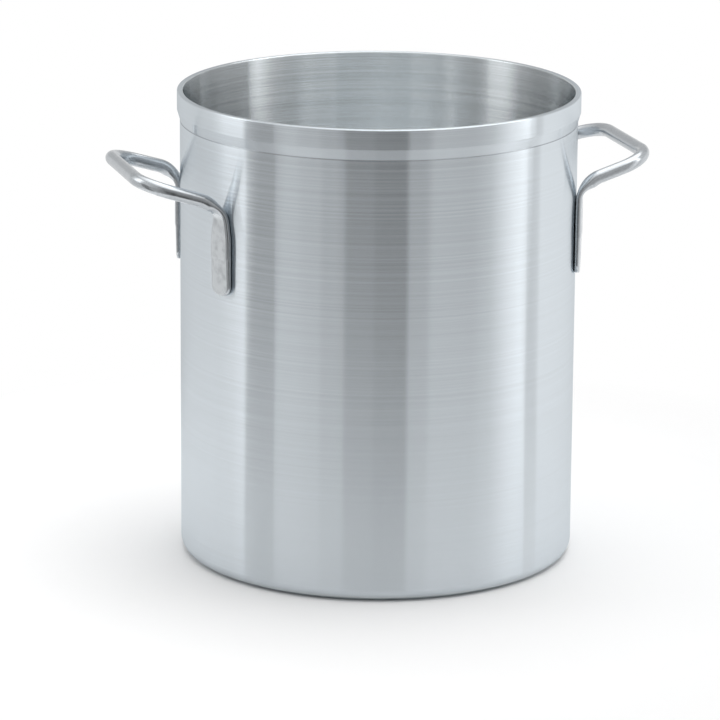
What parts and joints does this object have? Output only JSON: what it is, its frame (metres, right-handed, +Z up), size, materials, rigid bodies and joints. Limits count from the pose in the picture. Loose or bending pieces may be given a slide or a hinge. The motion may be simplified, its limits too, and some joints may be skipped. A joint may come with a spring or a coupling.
{
  "type": "stock pot",
  "caption": "Deep round aluminium stock pot with a thick rim band and two welded rod loop handles, for heating large batches of liquid on a range.",
  "frame": {"origin": "centre of the underside of the base, in the plane the pot stands on", "axes": "+Z up along the pot's axis, +X out through the middle of the right handle, +Y towards the back"},
  "size_m": [0.3744, 0.281, 0.33],
  "materials": {
    "pot_body": "satin, brushed in fine lines that run round the pot",
    "handle_rod": "bright drawn rod with lightly scuffed pressed ends",
    "weld_metal": "dull fused spot, hidden between a pressed end and the wall"
  },
  "bodies": {
    "root": {"pot_shell": "pot_body", "handle_left": "handle_rod", "handle_right": "handle_rod", "weld_left_front": "weld_metal", "weld_left_rear": "weld_metal", "weld_right_front": "weld_metal", "weld_right_rear": "weld_metal"}
  },
  "joints": []
}
